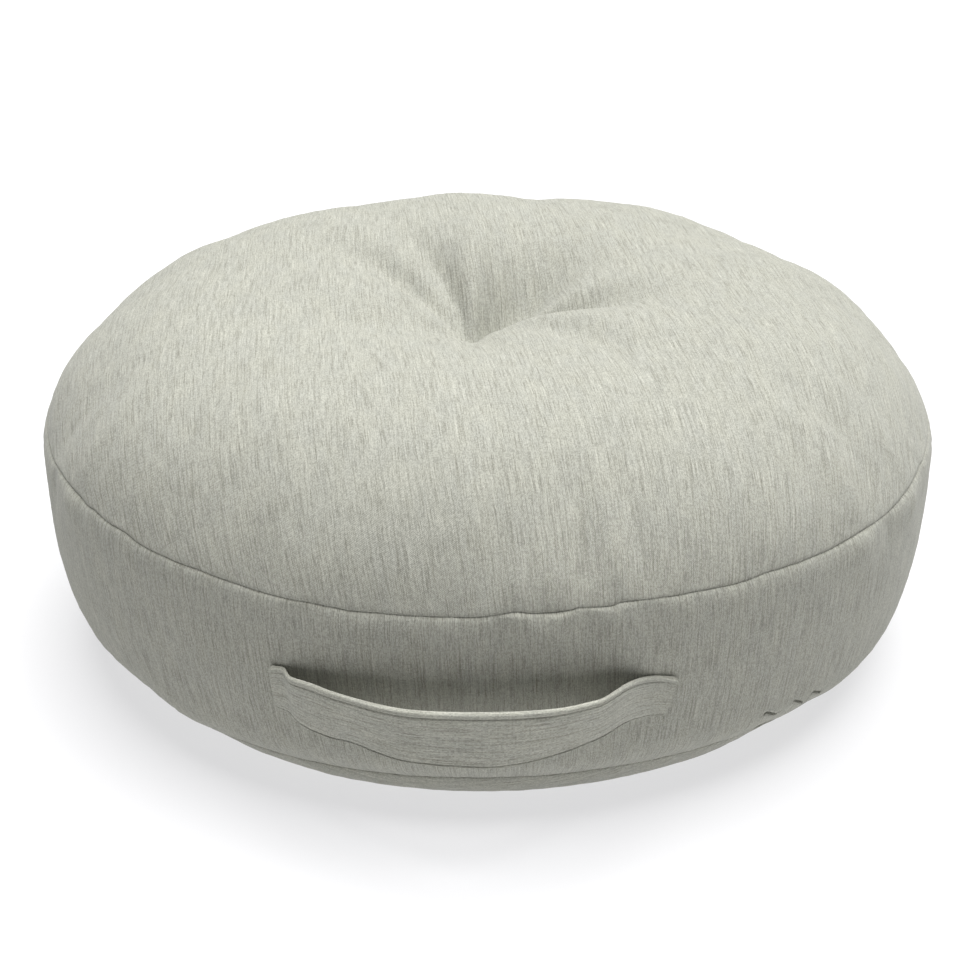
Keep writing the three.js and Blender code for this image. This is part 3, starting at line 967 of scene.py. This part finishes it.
class NodeSheet:
    """Short calls for adding and linking nodes."""

    def __init__(self, tree):
        self.tree = tree

    def add(self, kind, inputs=None, **settings):
        node = self.tree.nodes.new(kind)
        for name, value in settings.items():
            setattr(node, name, value)
        for name, value in (inputs or {}).items():
            self.set(node.inputs[name], value)
        return node

    def set(self, socket, value):
        if isinstance(value, bpy.types.NodeSocket):
            self.tree.links.new(value, socket)
        else:
            socket.default_value = value

    def math(self, operation, first, second=0.5):
        return self.add("ShaderNodeMath", {0: first, 1: second}, operation=operation).outputs[0]

    def ramp(self, value, low, high, to_low=0.0, to_high=1.0):
        given = {"Value": value, "From Min": low, "From Max": high, "To Min": to_low, "To Max": to_high}
        return self.add("ShaderNodeMapRange", given, interpolation_type="SMOOTHSTEP").outputs["Result"]

    def mix(self, factor, first, second, blend="MIX"):
        node = self.add("ShaderNodeMix", data_type="RGBA", blend_type=blend)
        for name, value in (("Factor", factor), ("A", first), ("B", second)):
            self.set(node.inputs[name], value)
        return node.outputs["Result"]

    def noise(self, vector, scale, detail, roughness):
        given = {"Vector": vector, "Scale": scale, "Detail": detail, "Roughness": roughness}
        return self.add("ShaderNodeTexNoise", given).outputs["Fac"]


def cloth_material(name, colours, grain_angle=0.0, painted_sheen=1.0):
    """Heathered plain weave: fine yarns with long slubs along V and short ones along U."""
    material = bpy.data.materials.new(name)
    material.use_nodes = True
    tree = material.node_tree
    tree.nodes.clear()
    sheet = NodeSheet(tree)
    uv = sheet.add("ShaderNodeUVMap", uv_map="cloth").outputs["UV"]
    turned = sheet.add("ShaderNodeMapping", {"Vector": uv, "Rotation": (0, 0, grain_angle)})

    def run(across, along):
        """The cloth's own place, in features across and along the warp for each metre."""
        given = {0: turned.outputs["Vector"], 1: (across, along, 1)}
        return sheet.add("ShaderNodeVectorMath", given, operation="MULTIPLY").outputs["Vector"]

    noises = {
        key: sheet.noise(run(across, along), 1, detail, roughness)
        for key, (across, along, detail, roughness) in WEAVE_NOISES.items()
    }

    def share(key, start, full, most):
        """How far a noise changes the cloth at each place."""
        return sheet.math("MULTIPLY", sheet.ramp(noises[key], start, full), most)

    tone = sheet.mix(sheet.ramp(noises["patch"], *COOL_RANGE), colours.light, colours.cool)
    for row in DARKER:
        tone = sheet.mix(share(*row), tone, colours.dark)
    cell = sheet.add("ShaderNodeVectorMath", {0: run(*FLECKS)}, operation="FLOOR")
    fleck = sheet.add("ShaderNodeTexWhiteNoise", {"Vector": cell.outputs["Vector"]}, noise_dimensions="2D")
    # The flecks' range is scaled by the painted sheen, which lightens the crosswise cloth to stand in for
    # the light it catches.
    lighter = sheet.ramp(fleck.outputs["Value"], 0.0, 1.0, *(painted_sheen * level for level in FLECK_RANGE))
    for row in LIGHTER:
        lighter = sheet.math("ADD", share(*row), lighter)
    grey = sheet.add("ShaderNodeCombineColor", {"Red": lighter, "Green": lighter, "Blue": lighter})
    tone = sheet.mix(1.0, tone, grey.outputs["Color"], "MULTIPLY")

    warp = sheet.add("ShaderNodeSeparateXYZ", {"Vector": run(math.pi * CROSSINGS, math.pi * CROSSINGS)})
    waves = [sheet.math("SINE", warp.outputs[axis]) for axis in "XY"]
    relief = sheet.math("MULTIPLY", sheet.math("MULTIPLY", *waves), YARN_RELIEF)
    for key, height in (("slub", SLUB_RELIEF), ("weft", WEFT_RELIEF)):
        relief = sheet.math("ADD", relief, sheet.math("MULTIPLY", noises[key], height))
    bump = sheet.add("ShaderNodeBump", {"Height": relief, "Strength": 0.35, "Distance": 0.0004})

    shader = sheet.add("ShaderNodeBsdfPrincipled", {"Base Color": tone, "Normal": bump.outputs["Normal"]})
    shader.inputs["Roughness"].default_value = 0.95
    shader.inputs["Specular IOR Level"].default_value = 0.2
    shader.inputs["Sheen Weight"].default_value = 0.12
    shader.inputs["Sheen Roughness"].default_value = 0.5
    output = sheet.add("ShaderNodeOutputMaterial")
    tree.links.new(shader.outputs["BSDF"], output.inputs["Surface"])
    return material


def thread_material(colours):
    """Spun thread, its ply shown by a fine twist."""
    material = bpy.data.materials.new("thread")
    material.use_nodes = True
    tree = material.node_tree
    sheet = NodeSheet(tree)
    shader = tree.nodes["Principled BSDF"]
    place = sheet.add("ShaderNodeTexCoord")
    shade = sheet.noise(place.outputs["Object"], 1400, 2, 0.5)
    dim = tuple(c * 0.8 for c in colours.thread[:3]) + (1,)
    tree.links.new(sheet.mix(shade, dim, tuple(colours.thread)), shader.inputs["Base Color"])
    shader.inputs["Roughness"].default_value = 0.8
    return material


def stitch_tree(material):
    """Geometry nodes that lay a stitch along a run at each pitch."""
    tree = bpy.data.node_groups.new("stitches", "GeometryNodeTree")
    ports = tree.interface
    ports.new_socket("Run", in_out="INPUT", socket_type="NodeSocketGeometry")
    for name in ("Pitch", "Thread radius", "Share"):
        ports.new_socket(name, in_out="INPUT", socket_type="NodeSocketFloat")
    ports.new_socket("Seed", in_out="INPUT", socket_type="NodeSocketInt")
    ports.new_socket("Stitches", in_out="OUTPUT", socket_type="NodeSocketGeometry")
    sheet = NodeSheet(tree)
    given = sheet.add("NodeGroupInput").outputs
    curve = sheet.add("GeometryNodeMeshToCurve", {"Mesh": given["Run"]}).outputs["Curve"]
    pitches = {"Curve": curve, "Length": given["Pitch"]}
    spots = sheet.add("GeometryNodeCurveToPoints", pitches, mode="LENGTH").outputs
    ball = sheet.add("GeometryNodeMeshUVSphere", {"Segments": 8, "Rings": 6, "Radius": 1.0})
    smooth = sheet.add("GeometryNodeSetShadeSmooth", {"Geometry": ball.outputs["Mesh"]})
    half = sheet.math("MULTIPLY", sheet.math("MULTIPLY", given["Pitch"], given["Share"]), 0.5)
    radius = given["Thread radius"]
    size = sheet.add("ShaderNodeCombineXYZ", {"X": radius, "Y": radius, "Z": half})
    limits = {"Min": 0.9, "Max": 1.08, "Seed": given["Seed"]}
    change = sheet.add("FunctionNodeRandomValue", limits, data_type="FLOAT")
    scaled = sheet.add("ShaderNodeVectorMath", {0: size.outputs["Vector"]}, operation="SCALE")
    sheet.set(scaled.inputs["Scale"], change.outputs["Value"])
    instances = {
        "Points": spots["Points"],
        "Instance": smooth.outputs["Geometry"],
        "Rotation": spots["Rotation"],
        "Scale": scaled.outputs["Vector"],
    }
    placed = sheet.add("GeometryNodeInstanceOnPoints", instances)
    real = sheet.add("GeometryNodeRealizeInstances", {"Geometry": placed.outputs["Instances"]})
    dyeing = {"Geometry": real.outputs["Geometry"], "Material": material}
    dyed = sheet.add("GeometryNodeSetMaterial", dyeing)
    sheet.set(sheet.add("NodeGroupOutput").inputs["Stitches"], dyed.outputs["Geometry"])
    return tree


def dress(piece, *nodes):
    """Puts a finished piece on the frame and hides the CAD nodes that it stands for."""
    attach(piece, BODY)
    if nodes:
        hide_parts(*nodes)


class CUSHION_OT_cover(bpy.types.Operator):
    """Make the filled cushion's cover"""

    bl_idname = "cushion.cover"
    bl_label = "Cover"

    def execute(self, context):
        s = context.scene.cushion_sizes
        colours = context.scene.cushion_cloth
        points, faces, uvs, panels = cover_mesh(s, s.columns, s.rows, SEAM_ROWS, SLIT_ROWS)[:4]
        coarse, shift = settled_shift(s)
        points = points + carry_shift(points, coarse, shift)
        points[:, 2] = np.maximum(points[:, 2], 0)
        cover = make_object("cover", points, faces, uvs, panels)
        for name, turn, painted_sheen in PANEL_CLOTHS:
            cover.data.materials.append(cloth_material(name, colours, turn, painted_sheen))
        dress(cover, "cushion")
        return {"FINISHED"}


class CUSHION_OT_handle(bpy.types.Operator):
    """Make the strap handle"""

    bl_idname = "cushion.handle"
    bl_label = "Handle"

    def execute(self, context):
        s, strap = context.scene.cushion_sizes, context.scene.cushion_strap
        points, faces, uvs, count = strap_mesh(s, strap)
        handle = make_object("strap_handle", points, faces, uvs)
        shell = bmesh.new()
        shell.from_mesh(handle.data)
        shell.verts.ensure_lookup_table()
        last = len(points) - count
        shell.faces.new([shell.verts[k] for k in range(count - 1, -1, -1)])
        shell.faces.new([shell.verts[last + k] for k in range(count)])
        bmesh.ops.recalc_face_normals(shell, faces=shell.faces)
        shell.to_mesh(handle.data)
        shell.free()
        # The strap's cloth lies across, so it gets the painted sheen that lightens it.
        cloth = cloth_material("strap_cloth", context.scene.cushion_cloth, math.pi / 2, ACROSS_PAINTED_SHEEN)
        handle.data.materials.append(cloth)
        dress(handle, "handle")
        return {"FINISHED"}


class CUSHION_OT_stitches(bpy.types.Operator):
    """Sew the topstitching along the strap"""

    bl_idname = "cushion.stitches"
    bl_label = "Stitches"

    def execute(self, context):
        s, strap = context.scene.cushion_sizes, context.scene.cushion_strap
        upper, lower = stitch_runs(s, strap)
        steps = np.arange(len(upper) - 1)
        steps = np.concatenate([steps, steps + len(upper)])
        mesh = bpy.data.meshes.new("stitch_runs")
        mesh.from_pydata(np.vstack([upper, lower]).tolist(), np.stack([steps, steps + 1], 1).tolist(), [])
        guide = put("stitch_runs", mesh)
        sewing = guide.modifiers.new("stitches", "NODES")
        sewing.node_group = stitch_tree(thread_material(context.scene.cushion_cloth))
        values = {
            "Pitch": strap.stitch_pitch,
            "Thread radius": strap.thread_radius,
            "Share": strap.stitch_share,
            "Seed": 5,
        }
        for socket in sewing.node_group.interface.items_tree:
            if socket.in_out == "INPUT" and socket.name in values:
                sewing[socket.identifier] = values[socket.name]
        sewn = bpy.data.meshes.new_from_object(guide.evaluated_get(context.evaluated_depsgraph_get()))
        bpy.data.objects.remove(guide)
        dress(put("strap_stitches", sewn))
        return {"FINISHED"}


class CUSHION_OT_stage(bpy.types.Operator):
    """Set the floor, the lights and the camera"""

    bl_idname = "cushion.stage"
    bl_label = "Stage"

    def execute(self, context):
        scene = context.scene
        stage = scene.cushion_stage
        scene.view_settings.view_transform = "Standard"
        scene.view_settings.look = "None"
        floor_mesh = bpy.data.meshes.new("floor")
        corners = [(x * FLOOR_REACH, y * FLOOR_REACH, 0) for x, y in ((-1, -1), (1, -1), (1, 1), (-1, 1))]
        floor_mesh.from_pydata(corners, [], [(0, 1, 2, 3)])
        floor = put("floor", floor_mesh)
        paint = bpy.data.materials.new("pale_floor")
        paint.use_nodes = True
        shader = paint.node_tree.nodes["Principled BSDF"]
        shader.inputs["Base Color"].default_value = FLOOR_COLOUR
        shader.inputs["Roughness"].default_value = 0.9
        shader.inputs["Emission Color"].default_value = FLOOR_LIGHT
        shader.inputs["Emission Strength"].default_value = stage.floor_glow
        floor_mesh.materials.append(paint)

        world = bpy.data.worlds.new("surroundings")
        world.use_nodes = True
        sheet = NodeSheet(world.node_tree)
        background = world.node_tree.nodes["Background"]
        background.inputs["Color"].default_value = (1, 1, 1, 1)
        seen = sheet.add("ShaderNodeLightPath").outputs["Is Camera Ray"]
        levels = {"Value": seen, "To Min": stage.fill_strength, "To Max": stage.backdrop_strength}
        sheet.set(background.inputs["Strength"], sheet.add("ShaderNodeMapRange", levels).outputs["Result"])
        scene.world = world

        lamp = bpy.data.lights.new("overhead", "SUN")
        lamp.angle = stage.key_spread
        lamp.energy = stage.key_power
        overhead = put("overhead", lamp)
        overhead.location = Vector((stage.key_aside, stage.key_behind, 1)) * 2
        overhead.rotation_euler = (-overhead.location).to_track_quat("-Z", "Y").to_euler()

        lens = bpy.data.cameras.new("camera")
        lens.lens = stage.lens
        lens.sensor_width = 36
        camera = put("camera", lens)
        a, e = stage.azimuth, stage.elevation
        back = Vector((math.sin(a) * math.cos(e), -math.cos(a) * math.cos(e), math.sin(e)))
        aside = Vector((math.cos(a), math.sin(a), 0)) * stage.aim_side
        aim = aside + Vector((0, 0, stage.aim_height))
        facing = back.to_track_quat("Z", "Y").to_matrix().to_4x4()
        place = Matrix.Translation(aim + back * stage.distance)
        camera.matrix_world = place @ facing @ Matrix.Rotation(stage.roll, 4, "Z")
        scene.camera = camera
        return {"FINISHED"}


class CUSHION_PT_panel(bpy.types.Panel):
    """Cushion sizes, colours and steps"""

    bl_label = "Floor Cushion"
    bl_idname = "CUSHION_PT_panel"
    bl_space_type = "VIEW_3D"
    bl_region_type = "UI"
    bl_category = "Cushion"

    def draw(self, context):
        scene = context.scene
        for group in (scene.cushion_sizes, scene.cushion_strap, scene.cushion_cloth, scene.cushion_stage):
            box = self.layout.box()
            for name in group.__annotations__:
                box.prop(group, name)
        for operator in OPERATORS:
            self.layout.operator(operator.bl_idname)


OPERATORS = (CUSHION_OT_cover, CUSHION_OT_handle, CUSHION_OT_stitches, CUSHION_OT_stage)
GROUPS = {
    "cushion_sizes": CushionSizes,
    "cushion_strap": StrapSizes,
    "cushion_cloth": ClothColours,
    "cushion_stage": StageSettings,
}


def register():
    for cls in (*GROUPS.values(), *OPERATORS, CUSHION_PT_panel):
        bpy.utils.register_class(cls)
    for name, group in GROUPS.items():
        setattr(bpy.types.Scene, name, PointerProperty(type=group))


def unregister():
    for name in GROUPS:
        delattr(bpy.types.Scene, name)
    for cls in (CUSHION_PT_panel, *reversed(OPERATORS), *reversed(GROUPS.values())):
        bpy.utils.unregister_class(cls)


def main():
    register()
    bpy.ops.cushion.cover()
    bpy.ops.cushion.handle()
    bpy.ops.cushion.stitches()
    bpy.ops.cushion.stage()
    bpy.context.view_layer.update()


if __name__ == "__main__":
    main()
